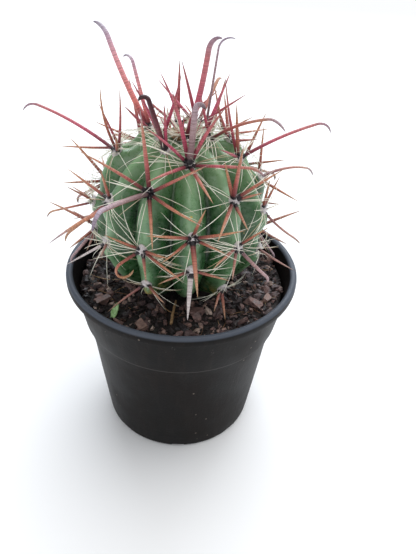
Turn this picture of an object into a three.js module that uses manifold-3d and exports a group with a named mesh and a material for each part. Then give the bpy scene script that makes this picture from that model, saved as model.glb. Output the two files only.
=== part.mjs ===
// A round, ribbed, hook-spined cactus growing in a black nursery pot.
// Millimetres, +Z up, origin at the centre of the pot's flat base.

import * as THREE from "three";
import { mergeVertices } from "three/addons/utils/BufferGeometryUtils.js";
import Module from "manifold-3d";

const wasm = await Module();
wasm.setup();

// Driving dimensions

const rimRadius = 70; // a 14 cm pot, measured over its rim
const potHeight = 115;
const lipHeight = 5; // the rolled rim's outer face
const wallThickness = 1.6;
const baseThickness = 1.8;
const baseRadius = 47.4; // flat face that stands on the table
const wallFootRadius = 51; // wall just above the rounded bottom edge
const wallTopRadius = 57.3; // wall under the shoulder
const shoulderLow = 68; // height where the wall turns out to the shoulder
const shoulderHigh = 82; // height of the faint ring above it
const shoulderRadius = 61.2;
const collarRadius = 66.4; // collar just under the rim
const potSides = 60;
const drainHoles = 8;
const drainRadius = 4.2;
const drainCircle = 33;
const notchCount = 8; // slots moulded across the bottom edge
const notchWidth = 8;
const notchHeight = 2.4;
const notchDepth = 4.5; // how far each slot reaches in from the bottom edge

const soilLevel = 103;
const soilSides = 54;
const soilBump = 0.35;
const clearance = 0.3; // gap kept between neighbouring pieces

const plantX = -1.5; // the plant stands a little off the pot's axis
const plantZ = 150.5; // height of the body's widest ring
const bodyRadius = 49; // measured over the rib crests
const bodyHalfHeight = 47.5;
const bodySquareness = 0.9; // 1 is an ellipse, less is boxier
const ribCount = 12;
const ribTurn = 7; // azimuth of the first rib, degrees to the right of front
const grooveDepth = 0.28; // share of the radius
const ribRoundness = 1.3; // 1 gives flat flanks and a sharp crest, 2 a round crest
const flatSide = 107; // the body grew a little flat towards this azimuth, in degrees
const flatSpread = 30;
const flatDepth = 0.055; // share of the radius
const lowestLatitude = -76;
const bodyRings = 18;
const stepsPerRib = 6;

const areoleRadius = 2.6;
const areoleHeight = 2.2;
const areoleLift = 0.4; // gap between a crest and the cushion on it
const spineRoot = 1.3; // where the spines of a cushion meet, above the crest
const spineSides = 4;

const crownRadius = 5.8;
const crownHeight = 2.2;

const degrees = Math.PI / 180;

// Materials

function finish(colour, roughness) {
  return new THREE.MeshStandardMaterial({ color: colour, roughness, metalness: 0 });
}

const potPlastic = finish(0x1d1c1c, 0.55);
const peat = finish(0x2a1d18, 0.95);
const skin = finish(0x3f7f4a, 0.45);
const wool = finish(0xb79a6e, 0.95);
const youngSpine = finish(0x8e2436, 0.45);
const oldSpine = finish(0xa07c7c, 0.5);
const greenScrap = finish(0x8fc373, 0.6);
const bark = finish(0x6b4226, 0.9);

// Solids

function toManifold(geometry) {
  const bare = geometry.clone();
  bare.deleteAttribute("normal");
  bare.deleteAttribute("uv");
  const merged = mergeVertices(bare, 1e-4);
  return new wasm.Manifold(
    new wasm.Mesh({
      numProp: 3,
      vertProperties: new Float32Array(merged.attributes.position.array),
      triVerts: new Uint32Array(merged.index.array),
    }),
  );
}

function toGeometry(solid) {
  const mesh = solid.getMesh();
  const geometry = new THREE.BufferGeometry();
  geometry.setAttribute("position", new THREE.BufferAttribute(mesh.vertProperties, 3));
  geometry.setIndex(new THREE.BufferAttribute(mesh.triVerts, 1));
  geometry.computeVertexNormals();
  return geometry;
}

// A closed solid of revolution about Z from points [radius, height].
function turned(points, sides) {
  const outline = points.map(([radius, height]) => new THREE.Vector2(radius, height));
  const geometry = new THREE.LatheGeometry(outline, sides);
  geometry.rotateX(Math.PI / 2);
  return geometry;
}

const group = new THREE.Group();

function addPiece(name, geometry, material) {
  const piece = new THREE.Mesh(geometry, material);
  piece.name = name;
  group.add(piece);
}

// A repeatable number between 0 and 1 for each pair of whole numbers.
function vary(seed, index) {
  const wave = Math.sin(seed * 12.9898 + index * 78.233) * 43758.5453;
  return wave - Math.floor(wave);
}

// Pot

// One moulding: flat base, tapered wall, shoulder, collar and rolled rim.
function buildPot() {
  const t = wallThickness;
  const lipBottom = potHeight - lipHeight;
  const outside = [
    [0, 0],
    [baseRadius, 0],
    [baseRadius + 2, 1.8],
    [wallFootRadius, 12],
    [wallTopRadius, shoulderLow],
    [shoulderRadius - 0.5, shoulderHigh - 1],
    [shoulderRadius + 0.3, shoulderHigh],
    [collarRadius, lipBottom - 1],
    [rimRadius - 0.8, lipBottom - 1],
    [rimRadius, lipBottom],
    [rimRadius, potHeight - 1.6],
    [rimRadius - 1.2, potHeight],
    [rimRadius - 3.4, potHeight - 0.3],
  ];
  const inside = [
    [rimRadius - 4.6, potHeight - 2],
    [collarRadius - t - 0.4, lipBottom - 2],
    [shoulderRadius - t, shoulderHigh],
    [wallTopRadius - t, shoulderLow],
    [wallFootRadius - t, 12],
    [wallFootRadius - t - 1.6, baseThickness + 1.2],
    [wallFootRadius - t - 3.4, baseThickness],
    [0, baseThickness],
  ];
  let pot = toManifold(turned([...outside, ...inside], potSides));
  for (let i = 0; i < drainHoles; i++) {
    const angle = (i + 0.5) * 2 * Math.PI / drainHoles;
    const hole = new THREE.CylinderGeometry(drainRadius, drainRadius, 4 * baseThickness, 10);
    hole.rotateX(Math.PI / 2);
    hole.translate(drainCircle * Math.cos(angle), drainCircle * Math.sin(angle), 0);
    pot = pot.subtract(toManifold(hole));
  }
  for (let i = 0; i < notchCount; i++) {
    const notch = new THREE.BoxGeometry(wallFootRadius, notchWidth, 2 * notchHeight);
    notch.translate(baseRadius - notchDepth + 0.5 * wallFootRadius, 0, 0);
    notch.rotateZ(i * 2 * Math.PI / notchCount);
    pot = pot.subtract(toManifold(notch));
  }
  return toGeometry(pot);
}

// Plant body

function signedPower(value, power) {
  return Math.sign(value) * Math.abs(value) ** power;
}

// Radius over the crests and height, at a latitude on the body.
function crestAt(latitude) {
  const angle = latitude * degrees;
  return {
    radius: bodyRadius * signedPower(Math.cos(angle), bodySquareness),
    height: plantZ + bodyHalfHeight * signedPower(Math.sin(angle), bodySquareness),
  };
}

// How much of the full radius the body has towards an azimuth in degrees.
function girth(azimuth) {
  return 1 - flatDepth * Math.exp(-(((azimuth - flatSide) / flatSpread) ** 2));
}

// The body with each rib standing out from two grooves; offset grows or shrinks it.
function bodyMesh(offset) {
  const columns = ribCount * stepsPerRib;
  const positions = [];
  const indices = [];
  for (let ring = 0; ring <= bodyRings; ring++) {
    const latitude = lowestLatitude + (88 - lowestLatitude) * ring / bodyRings;
    const crest = crestAt(latitude);
    const fade = Math.min(1, crest.radius / (0.45 * bodyRadius));
    for (let column = 0; column < columns; column++) {
      const stepsFromCrest = Math.min(column % stepsPerRib, stepsPerRib - column % stepsPerRib);
      const downFlank = stepsFromCrest / (0.5 * stepsPerRib);
      const rib = 1 - grooveDepth * fade * downFlank ** ribRoundness;
      const turn = ribTurn + column * 360 / columns;
      const radius = crest.radius * rib * girth(turn) + offset * Math.cos(latitude * degrees);
      const azimuth = turn * degrees;
      positions.push(plantX + radius * Math.sin(azimuth), -radius * Math.cos(azimuth));
      positions.push(crest.height + offset * Math.sin(latitude * degrees));
    }
  }
  for (let ring = 0; ring < bodyRings; ring++) {
    for (let column = 0; column < columns; column++) {
      const next = (column + 1) % columns;
      const a = ring * columns + column;
      const b = ring * columns + next;
      const c = a + columns;
      const d = b + columns;
      indices.push(a, b, d, a, d, c);
    }
  }
  const bottomCentre = positions.length / 3;
  positions.push(plantX, 0, positions[2]);
  const topCentre = bottomCentre + 1;
  const topRing = bodyRings * columns;
  positions.push(plantX, 0, positions[topRing * 3 + 2] - 1);
  for (let column = 0; column < columns; column++) {
    const next = (column + 1) % columns;
    indices.push(bottomCentre, next, column);
    indices.push(topCentre, topRing + column, topRing + next);
  }
  const geometry = new THREE.BufferGeometry();
  geometry.setAttribute("position", new THREE.Float32BufferAttribute(positions, 3));
  geometry.setIndex(indices);
  geometry.computeVertexNormals();
  return geometry;
}

const bodyGeometry = bodyMesh(0);
const bodyWithGap = toManifold(bodyMesh(clearance));

// Potting mix

// A plug of peat and bark with an uneven top, hollowed where the plant sits.
function buildSoil() {
  const floor = baseThickness + clearance;
  const profile = [
    [0, floor],
    [wallFootRadius - 6, floor],
    [wallFootRadius - 2.5, 12],
    [wallTopRadius - 2.5, shoulderLow],
    [shoulderRadius - 2.5, shoulderHigh],
    [62.2, soilLevel - 2],
    [60, soilLevel],
    [52, soilLevel - 0.6],
    [42, soilLevel + 0.4],
    [31, soilLevel],
    [0, soilLevel],
  ];
  const geometry = turned(profile, soilSides);
  const position = geometry.attributes.position;
  for (let i = 0; i < position.count; i++) {
    const radius = Math.hypot(position.getX(i), position.getY(i));
    if (position.getZ(i) > soilLevel - 1.5 && radius > 25 && radius < 62) {
      const angle = Math.atan2(position.getY(i), position.getX(i));
      const bump = Math.sin(5 * angle + radius) + Math.sin(11 * angle - 0.4 * radius);
      position.setZ(i, position.getZ(i) + soilBump * bump);
    }
  }
  return toGeometry(toManifold(geometry).subtract(bodyWithGap));
}

// Spines

// Each rib carries areoles at these latitudes, counted from the body's widest ring.
const ribAreoles = [
  [-8, 11, 57, 80],
  [-38, 1, 30],
  [-13, 13, 52, 74],
  [-14, 22, 60, 78],
  [-6, 20, 55],
  [-28, 4, 36, 70],
  [-12, 14, 54],
  [-30, 0, 33],
  [-14, 8, 38, 69],
  [-9, 7, 47],
  [-4, 22, 75],
  [-26, 1, 36, 66],
];

// The spines that give the plant its outline, by rib and latitude. Each is
// [clock, lift, length, width, bow, hook]: clock turns from up the rib, clockwise to
// someone facing the areole, lift is the rise out of the skin, bow bends the whole
// spine downwards and hook its last part, all in degrees; length and width are mm.
const grownSpines = {
  "0:57": [
    [7, 61, 34, 4.4, 0, 150],
    [-60, 40, 27, 2.2, 15, 0],
    [-15, 40, 34, 2.6, 5, 0],
    [35, 45, 31, 2.6, 20, 0],
    [-130, 30, 31, 2.2, 5, 0],
    [120, 35, 41, 2.2, 5, 50],
    [170, 30, 37, 2.2, 0, 0],
  ],
  "0:80": [[138, 72, 59, 3.6, -18, 83], [-40, 65, 34, 2.2, 15, 0]],
  "8:69": [[-151, 64, 63, 3.8, -19, 68], [-97, 84, 42, 2.6, 0, 115], [85, 40, 26, 2.4, -5, 0]],
  "11:66": [[-50, 70, 32, 4, 0, 149], [0, 70, 24, 2, 10, 0]],
  "9:47": [
    [-117, 57, 64, 2.4, 24, 59],
    [6, 73, 36, 2, -31, 0],
    [0, 40, 32, 2, -10, 0],
    [60, 30, 22, 2.2, 0, 0],
  ],
  "8:38": [[180, 40, 42, 2, -5, 0], [20, 55, 26, 2, 0, 0]],
  "11:36": [
    [-68, 41, 37, 2.2, 9, 0],
    [5, 50, 46, 2.4, 5, 0],
    [65, 30, 40, 2.2, 0, 0],
    [110, 25, 42, 2, -10, 0],
    [150, 25, 32, 2, 0, 0],
    [174, 73, 56, 2.8, 7, 83],
    [-133, 43, 53, 2.4, 26, 0],
  ],
  "10:22": [[-68, 39, 25, 2, 0, 0], [25, 40, 23, 2, -5, 0], [180, 45, 30, 2, 0, 60]],
  "9:7": [[-135, 45, 41, 2, 0, 39], [40, 40, 22, 1.8, 0, 0]],
  "2:52": [
    [118, 56, 54, 2.4, 21, 82],
    [-14, 38, 40, 2.2, -10, 0],
    [-25, 50, 31, 2.2, 0, 0],
    [-65, 20, 24, 2, 5, 0],
  ],
  "2:74": [[-133, 47, 65, 2.2, 20, 47], [0, 60, 26, 2, 0, 0]],
  "4:55": [[-175, 30, 32, 2, 0, 0], [40, 50, 26, 2, 0, 0]],
  "3:60": [[-30, 35, 24, 2, 0, 0], [60, 40, 26, 2, 0, 0], [-100, 30, 24, 2, 0, 0]],
  "3:22": [[40, 25, 29, 1.8, 0, 0], [111, 51, 59, 2.2, 32, 33], [-120, 35, 26, 2, 0, 0]],
  "1:30": [
    [65, 40, 27, 2.2, 5, 0],
    [-30, 35, 26, 2.2, 0, 0],
    [-25, 50, 40, 2.4, 0, 0],
    [-115, 30, 33, 2, 5, 0],
    [-165, 35, 17, 2, 0, 0],
    [90, 40, 14, 1.8, 0, 0],
  ],
  "0:11": [
    [10, 35, 24, 2, 5, 0],
    [-65, 40, 32, 2.2, 0, 0],
    [65, 40, 30, 2.2, -5, 0],
    [-115, 35, 20, 1.8, -5, 0],
    [105, 35, 17, 1.8, 0, 0],
    [180, 50, 29, 2.8, 5, 0],
  ],
  "11:1": [
    [-45, 40, 22, 2, -5, 0],
    [70, 30, 24, 1.8, -5, 0],
    [90, 30, 32, 1.8, -5, 0],
    [145, 40, 15, 1.8, 0, 0],
    [-120, 45, 30, 2, 30, 200],
  ],
  "1:1": [
    [150, 40, 26, 2.4, -10, 130],
    [-80, 25, 28, 1.8, 5, 0],
    [-120, 40, 19, 1.8, 0, 0],
    [20, 40, 22, 1.8, 0, 0],
  ],
  "0:-8": [[-170, 45, 24, 3, 5, 0], [-80, 35, 20, 1.8, 0, 0], [80, 35, 20, 1.8, 0, 0]],
  "11:-26": [[-120, 35, 29, 1.8, 10, 0], [60, 35, 26, 1.8, -15, 0]],
  "1:-38": [[-120, 70, 18, 2, 0, 0], [-80, 40, 16, 1.8, 0, 0]],
  "10:-4": [[-135, 40, 28, 2, 0, 0], [70, 35, 22, 1.8, 0, 0]],
  "2:-13": [[135, 45, 32, 2, -5, 0], [-60, 35, 20, 1.8, 0, 0]],
  "2:13": [[-25, 20, 23, 1.8, 0, 0], [-10, 30, 23, 1.8, 0, 0], [160, 25, 31, 2, -20, 20]],
  "10:75": [[50, 60, 35, 2.4, -10, 0], [180, 80, 35, 2.2, 10, 0]],
  "3:78": [[-16, 86, 52, 2, 0, 104], [120, 55, 34, 2.4, 0, 0]],
};

// The usual set of an areole: four stout spines in a cross and two thin ones below.
function usualSpines(seed, latitude) {
  const age = Math.min(1, Math.max(0, (70 - latitude) / 110));
  const long = 40 - 16 * age;
  const few = latitude > 62;
  const low = latitude < -20;
  const set = [
    [10 - 20 * vary(seed, 1), 50, long, 2.4, 5, 0],
    low ? [180, 60, 0.8 * long, 2.2, -10, 0] : [170 + 20 * vary(seed, 2), 48, long, 2.6, 0, 70],
    [75 + 15 * vary(seed, 3), 38, 0.8 * long, 2.2, 0, 0],
    [-75 - 15 * vary(seed, 4), 38, 0.8 * long, 2.2, 0, 0],
  ];
  if (!few) {
    set.push([130, 30, 0.5 * long, 1.8, 0, 0], [-130, 30, 0.5 * long, 1.8, 0, 0]);
  }
  return set;
}

// Where an areole sits: its centre on the crest and the directions out, up and right.
function areoleFrame(rib, latitude) {
  const turn = ribTurn + rib * 360 / ribCount;
  const azimuth = turn * degrees;
  const angle = latitude * degrees;
  const crest = crestAt(latitude);
  const outward = new THREE.Vector3(Math.sin(azimuth), -Math.cos(azimuth), 0);
  const rise = signedPower(Math.sin(angle), 2 - bodySquareness) / bodyHalfHeight;
  const reach = signedPower(Math.cos(angle), 2 - bodySquareness) / bodyRadius;
  const slope = Math.atan2(rise, reach);
  const out = outward.clone().multiplyScalar(Math.cos(slope));
  out.z = Math.sin(slope);
  const up = outward.clone().multiplyScalar(-Math.sin(slope));
  up.z = Math.cos(slope);
  const right = new THREE.Vector3().crossVectors(up, out);
  const centre = outward.clone().multiplyScalar(crest.radius * girth(turn));
  centre.x += plantX;
  centre.z = crest.height;
  return { centre, out, up, right };
}

// A tapering four-sided spine that follows its bow and ends in its hook.
function spineSolid(frame, [clock, lift, length, width, bow, hook]) {
  const shaftSteps = hook || bow ? 2 : 1;
  const hookSteps = hook ? 4 : 0;
  const steps = shaftSteps + hookSteps;
  const hookShare = !hook ? 0 : hook > 150 ? 0.6 : 0.2;
  const flatness = hook ? 0.5 : 0.75;
  const along = new THREE.Vector3()
    .addScaledVector(frame.up, Math.cos(lift * degrees) * Math.cos(clock * degrees))
    .addScaledVector(frame.right, Math.cos(lift * degrees) * Math.sin(clock * degrees))
    .addScaledVector(frame.out, Math.sin(lift * degrees));
  const side = new THREE.Vector3().crossVectors(along, new THREE.Vector3(0, 0, -1)).normalize();
  // the straight runs follow the middle of the curve, so the first turns by half a step
  along.applyAxisAngle(side, (-0.5 * bow * (1 - hookShare) * degrees) / shaftSteps);
  const point = frame.centre.clone().addScaledVector(frame.out, spineRoot);
  const positions = [];
  const indices = [];
  let share = 0;
  for (let step = 0; step < steps; step++) {
    const face = new THREE.Vector3().crossVectors(along, side);
    const taper = 0.5 * width * (1 - share) ** 0.6;
    const corners = [[1, 0], [0, flatness], [-1, 0], [0, -flatness]];
    for (const [across, through] of corners) {
      const corner = point.clone()
        .addScaledVector(side, across * taper)
        .addScaledVector(face, through * taper);
      positions.push(corner.x, corner.y, corner.z);
    }
    const inHook = step >= shaftSteps;
    const advance = inHook ? hookShare / hookSteps : (1 - hookShare) / shaftSteps;
    const turn = bow * advance + (inHook ? hook / hookSteps : 0);
    along.applyAxisAngle(side, turn * degrees);
    point.addScaledVector(along, length * advance);
    share += advance;
  }
  positions.push(point.x, point.y, point.z);
  const tip = steps * spineSides;
  for (let corner = 0; corner < spineSides; corner++) {
    const next = (corner + 1) % spineSides;
    for (let step = 0; step < steps - 1; step++) {
      const a = step * spineSides + corner;
      const b = step * spineSides + next;
      indices.push(a, b, b + spineSides, a, b + spineSides, a + spineSides);
    }
    indices.push(tip - spineSides + corner, tip - spineSides + next, tip);
  }
  indices.push(0, 3, 2, 0, 2, 1);
  const geometry = new THREE.BufferGeometry();
  geometry.setAttribute("position", new THREE.Float32BufferAttribute(positions, 3));
  geometry.setIndex(indices);
  return toManifold(geometry);
}

// A low dome with a flat underside, its centre at the origin and its top along +Z.
function dome(radius, height, sides) {
  return turned([[0, 0], [radius, 0], [0.75 * radius, 0.7 * height], [0, height]], sides);
}

// A felted cushion on the crest with its spines grown into one piece.
function buildAreole(rib, latitude, seed) {
  const frame = areoleFrame(rib, latitude);
  const cushion = dome(areoleRadius, areoleHeight, 7);
  cushion.lookAt(frame.out);
  const seat = frame.centre.clone().addScaledVector(frame.out, areoleLift);
  cushion.translate(seat.x, seat.y, seat.z);
  let solid = toManifold(cushion);
  const spines = grownSpines[`${rib}:${latitude}`] ?? usualSpines(seed, latitude);
  for (const spine of spines) {
    solid = solid.add(spineSolid(frame, spine));
  }
  return toGeometry(solid);
}

function buildCrown() {
  const crown = dome(crownRadius, crownHeight, 12);
  crown.translate(plantX, 0, plantZ + bodyHalfHeight + areoleLift);
  return crown;
}

// Loose pieces on the potting mix

const litterHeight = soilLevel + 1; // clear of the highest bump
const twigLength = 21;
const twigRadius = 1.1;
const scrapThickness = 0.8;

// [x, y, length, width, thickness, turn in degrees]
const barkChips = [
  [8, -35, 9, 6, 2.6, 20],
  [43, -26, 9, 6.5, 3, -35],
  [51, -22, 6, 4.5, 2.6, 60],
  [-46, -27, 8, 4.5, 2.4, 40],
  [-22, -48, 7, 4, 2.2, -60],
  [-30, 42, 9, 6, 2.8, 15],
  [36, 41, 8, 5, 2.4, -50],
];

function buildChip([x, y, length, width, thickness, turn]) {
  const chip = new THREE.IcosahedronGeometry(0.5, 0);
  chip.scale(length, width, thickness);
  chip.rotateZ(turn * degrees);
  chip.translate(x, y, litterHeight + 0.5 * thickness);
  return chip;
}

// A short bare stick lying on the mix, from under the plant towards the rim.
function buildTwig() {
  const twig = new THREE.CylinderGeometry(0.75 * twigRadius, twigRadius, twigLength, 6);
  twig.translate(-5.6, -36.5, litterHeight + twigRadius + clearance);
  return twig;
}

// A fallen flake of green skin, thin and curled.
function buildScrap() {
  const outline = new THREE.Shape();
  outline.moveTo(0, -6.5);
  outline.quadraticCurveTo(3.2, -2, 1.9, 3);
  outline.quadraticCurveTo(1.2, 6, -0.4, 6.8);
  outline.quadraticCurveTo(-2.4, 1, 0, -6.5);
  const scrap = new THREE.ExtrudeGeometry(outline, {
    depth: scrapThickness,
    bevelEnabled: false,
    curveSegments: 4,
  });
  scrap.rotateZ(-0.1);
  scrap.translate(-38, -36, litterHeight);
  return scrap;
}

// Assembly

addPiece("nursery_pot", buildPot(), potPlastic);
addPiece("potting_mix", buildSoil(), peat);
addPiece("cactus_body", bodyGeometry, skin);

addPiece("crown_wool", buildCrown(), wool);
addPiece("green_scrap", buildScrap(), greenScrap);
addPiece("twig", buildTwig(), bark);
barkChips.forEach((chip, i) => addPiece(`bark_chip_${i + 1}`, buildChip(chip), bark));

ribAreoles.forEach((latitudes, rib) => {
  latitudes.forEach((latitude, level) => {
    const name = `spines_rib${String(rib + 1).padStart(2, "0")}_${level + 1}`;
    const material = latitude > 25 ? youngSpine : oldSpine;
    addPiece(name, buildAreole(rib, latitude, rib * 7 + level), material);
  });
});

export default group;
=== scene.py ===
import math
import random

import bpy
from mathutils import Matrix, Vector
from mathutils.bvhtree import BVHTree


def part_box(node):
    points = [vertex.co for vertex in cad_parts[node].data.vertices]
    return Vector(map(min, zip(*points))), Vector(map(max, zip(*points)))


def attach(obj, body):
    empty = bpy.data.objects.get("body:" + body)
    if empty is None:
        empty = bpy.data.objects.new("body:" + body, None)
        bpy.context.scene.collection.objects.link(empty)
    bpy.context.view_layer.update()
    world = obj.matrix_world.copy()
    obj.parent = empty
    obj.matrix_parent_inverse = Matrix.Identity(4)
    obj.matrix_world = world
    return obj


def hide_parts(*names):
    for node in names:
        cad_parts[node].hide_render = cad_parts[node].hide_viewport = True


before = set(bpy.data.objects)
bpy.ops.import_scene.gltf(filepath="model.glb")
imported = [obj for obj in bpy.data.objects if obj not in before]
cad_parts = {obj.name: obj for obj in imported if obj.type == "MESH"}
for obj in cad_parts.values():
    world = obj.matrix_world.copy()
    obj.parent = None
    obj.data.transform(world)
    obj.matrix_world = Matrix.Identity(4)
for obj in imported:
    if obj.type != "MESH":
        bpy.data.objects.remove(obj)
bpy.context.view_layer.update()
mm = 0.001
straightDown = Vector((0, 0, -1))


# helpers for selecting and shaping

def deselectAll():
    if bpy.context.mode != "OBJECT":
        bpy.ops.object.mode_set(mode="OBJECT")
    bpy.ops.object.select_all(action="DESELECT")


def pick(obj):
    deselectAll()
    obj.select_set(True)
    bpy.context.view_layer.objects.active = obj


def editAll(obj):
    pick(obj)
    bpy.ops.object.mode_set(mode="EDIT")
    bpy.ops.mesh.select_all(action="SELECT")


def settle(obj):
    # puts the object's place into its mesh
    pick(obj)
    bpy.ops.object.transform_apply(location=True, rotation=True, scale=True)


def applyModifier(obj, kind, **values):
    pick(obj)
    bpy.ops.object.modifier_add(type=kind)
    modifier = obj.modifiers[-1]
    for name, value in values.items():
        setattr(modifier, name, value)
    bpy.ops.object.modifier_apply(modifier=modifier.name)


def cloudTexture(name, size, depth=2):
    texture = bpy.data.textures.new(name, "CLOUDS")
    texture.noise_scale = size
    texture.noise_depth = depth
    return texture


def roughen(obj, name, size, strength, middle=0.5, **limits):
    # lumps of one size, all over or only where and which way the limits say
    applyModifier(obj, "DISPLACE", texture=cloudTexture(name, size), strength=strength, mid_level=middle,
                  texture_coords="LOCAL", **limits)


def cutAway(obj, cutter):
    applyModifier(obj, "BOOLEAN", object=cutter, operation="DIFFERENCE", solver="EXACT")
    bpy.data.objects.remove(cutter)


def smooth(obj, angle=None):
    pick(obj)
    if angle is None:
        bpy.ops.object.shade_smooth()
    else:
        bpy.ops.object.shade_smooth_by_angle(angle=math.radians(angle))


def clothe(obj, material):
    obj.data.materials.clear()
    obj.data.materials.append(material)


def finishPiece(obj, name, slot, *nodes):
    obj.name = name
    obj.data.name = name
    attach(obj, "root")
    if nodes:
        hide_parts(*nodes)


def setValue(obj, name, values):
    # one number per vertex, or the same number all over
    count = len(obj.data.vertices)
    attribute = obj.data.attributes.get(name) or obj.data.attributes.new(name, "FLOAT", "POINT")
    attribute.data.foreach_set("value", values if isinstance(values, list) else [values] * count)


def copyOf(source, matrix, **values):
    # each copy has its own mesh, with its place baked in
    mesh = source.data.copy()
    mesh.transform(matrix)
    copy = bpy.data.objects.new(source.name, mesh)
    bpy.context.scene.collection.objects.link(copy)
    for name, value in values.items():
        setValue(copy, name, value)
    return copy


def joinAll(objects):
    deselectAll()
    for obj in objects:
        obj.select_set(True)
    bpy.context.view_layer.objects.active = objects[0]
    if len(objects) > 1:
        bpy.ops.object.join()
    return bpy.context.view_layer.objects.active


def clearAway(shapes):
    for shape in shapes:
        bpy.data.objects.remove(shape)


def turnRings(sides, rings, place=(0, 0)):
    # a closed turned solid, grown ring by ring from its first ring of (radius, height)
    firstRadius, firstHeight = rings[0]
    deselectAll()
    bpy.ops.mesh.primitive_circle_add(
        vertices=sides, radius=firstRadius, fill_type="NGON", location=(place[0], place[1], firstHeight)
    )
    obj = bpy.context.object
    settle(obj)
    editAll(obj)
    for (radius, height), (newRadius, newHeight) in zip(rings, rings[1:]):
        bpy.ops.mesh.extrude_region_move(TRANSFORM_OT_translate={"value": (0, 0, newHeight - height)})
        grow = newRadius / radius
        bpy.ops.transform.resize(value=(grow, grow, 1), center_override=(place[0], place[1], newHeight))
    bpy.ops.mesh.select_all(action="SELECT")
    bpy.ops.mesh.normals_make_consistent(inside=False)
    deselectAll()
    return obj


def growTube(name, sides, width, flatness, steps):
    # steps are (advance, turn, size): the end ring is grown on along +z and bent towards -y
    size = steps[0][2]
    deselectAll()
    bpy.ops.mesh.primitive_circle_add(vertices=sides, radius=0.5 * width, fill_type="NGON")
    tube = bpy.context.object
    tube.name = name
    editAll(tube)
    bpy.ops.transform.resize(value=(size, size * flatness, 1), center_override=(0, 0, 0))
    centre = Vector((0, 0, 0))
    heading = Vector((0, 0, 1))
    centres = [centre.copy()]
    travelled = [0]
    for advance, turn, newSize in steps[1:]:
        angle = math.radians(turn)
        heading = Matrix.Rotation(angle, 3, "X") @ heading
        centre = centre + heading * advance
        bpy.ops.mesh.extrude_region_move(TRANSFORM_OT_translate={"value": heading * advance})
        if turn:
            bpy.ops.transform.rotate(value=-angle, orient_axis="X", center_override=centre)
        grow = newSize / size
        bpy.ops.transform.resize(value=(grow, grow, grow), center_override=centre)
        size = newSize
        centres.append(centre.copy())
        travelled.append(travelled[-1] + advance)
    bpy.ops.mesh.select_all(action="SELECT")
    bpy.ops.mesh.normals_make_consistent(inside=False)
    deselectAll()
    distances = []
    for vertex in tube.data.vertices:
        nearest = min(range(len(centres)), key=lambda ring: (vertex.co - centres[ring]).length_squared)
        distances.append(travelled[nearest])
    setValue(tube, "distance", [distance / mm for distance in distances])
    setValue(tube, "share", [distance / travelled[-1] for distance in distances])
    smooth(tube)
    return tube


def aimMatrix(root, along, bend):
    # turns a tube grown along +z and bent towards -y so that it points along and bends towards bend
    along = along.normalized()
    side = along.cross(bend).normalized()
    face = along.cross(side)
    return Matrix.Translation(root) @ Matrix((side, face, along)).transposed().to_4x4()


# helpers for materials

def newMaterial(name, roughness=0.5):
    material = bpy.data.materials.new(name)
    material.use_nodes = True
    shader = material.node_tree.nodes["Principled BSDF"]
    shader.inputs["Roughness"].default_value = roughness
    return material, shader


def addNode(material, kind, **values):
    node = material.node_tree.nodes.new(kind)
    for name, value in values.items():
        if name in node.inputs:
            node.inputs[name].default_value = value
        else:
            setattr(node, name, value)
    return node


def feed(material, socket, value):
    if isinstance(value, bpy.types.NodeSocket):
        material.node_tree.links.new(value, socket)
    elif isinstance(value, tuple) and len(value) == 3 and socket.type == "RGBA":
        socket.default_value = (*value, 1)
    else:
        socket.default_value = value


def objectCoords(material, scale=(1, 1, 1)):
    coords = addNode(material, "ShaderNodeTexCoord")
    mapping = addNode(material, "ShaderNodeMapping")
    mapping.inputs["Scale"].default_value = scale
    feed(material, mapping.inputs["Vector"], coords.outputs["Object"])
    return mapping.outputs["Vector"]


def noise(material, vector, scale, detail=4.0, roughness=0.55):
    node = addNode(material, "ShaderNodeTexNoise", Scale=scale, Detail=detail, Roughness=roughness)
    feed(material, node.inputs["Vector"], vector)
    return node.outputs["Fac"]


def lineNoise(material, along, scale, detail=2.0):
    # noise that only changes along one number
    node = addNode(material, "ShaderNodeTexNoise", noise_dimensions="1D", Scale=scale, Detail=detail)
    feed(material, node.inputs["W"], along)
    return node.outputs["Fac"]


def dots(material, vector, scale, size):
    # 1 inside small round dots, one in each cell
    node = addNode(material, "ShaderNodeTexVoronoi", Scale=scale, Randomness=1.0)
    feed(material, node.inputs["Vector"], vector)
    return window(material, node.outputs["Distance"], size, 0.6 * size)


def ramp(material, factor, stops):
    # stops are (place, colour) from low to high
    node = addNode(material, "ShaderNodeValToRGB")
    band = node.color_ramp
    while len(band.elements) < len(stops):
        band.elements.new(0.5)
    for element, (place, colour) in zip(band.elements, stops):
        element.position = place
        element.color = (*colour, 1)
    feed(material, node.inputs["Fac"], factor)
    return node.outputs["Color"]


def mix(material, factor, first, second, mode="MIX"):
    node = addNode(material, "ShaderNodeMix", data_type="RGBA", blend_type=mode)
    feed(material, node.inputs[0], factor)
    feed(material, node.inputs[6], first)
    feed(material, node.inputs[7], second)
    return node.outputs[2]


def maths(material, operation, first, second=0.0, clamp=False):
    node = addNode(material, "ShaderNodeMath", operation=operation, use_clamp=clamp)
    feed(material, node.inputs[0], first)
    feed(material, node.inputs[1], second)
    return node.outputs[0]


def times(material, first, second, clamp=False):
    return maths(material, "MULTIPLY", first, second, clamp)


def window(material, value, low, high):
    # 0 at low and 1 at high, whichever of the two is larger
    node = addNode(material, "ShaderNodeMapRange", interpolation_type="SMOOTHSTEP")
    node.inputs["From Min"].default_value = low
    node.inputs["From Max"].default_value = high
    feed(material, node.inputs["Value"], value)
    return node.outputs["Result"]


def between(material, value, rising, falling):
    # 1 between two edges, each given as where it is 0 and where it is 1
    return times(material, window(material, value, *rising), window(material, value, *falling))


def speckle(material, coords, dotScale, dotSize, patchScale, low, high):
    # small dots that gather in patches
    spots = dots(material, coords, dotScale, dotSize)
    patches = window(material, noise(material, coords, patchScale, 2), low, high)
    return times(material, spots, patches)


def valueOf(material, name):
    return addNode(material, "ShaderNodeAttribute", attribute_name=name).outputs["Fac"]


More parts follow.
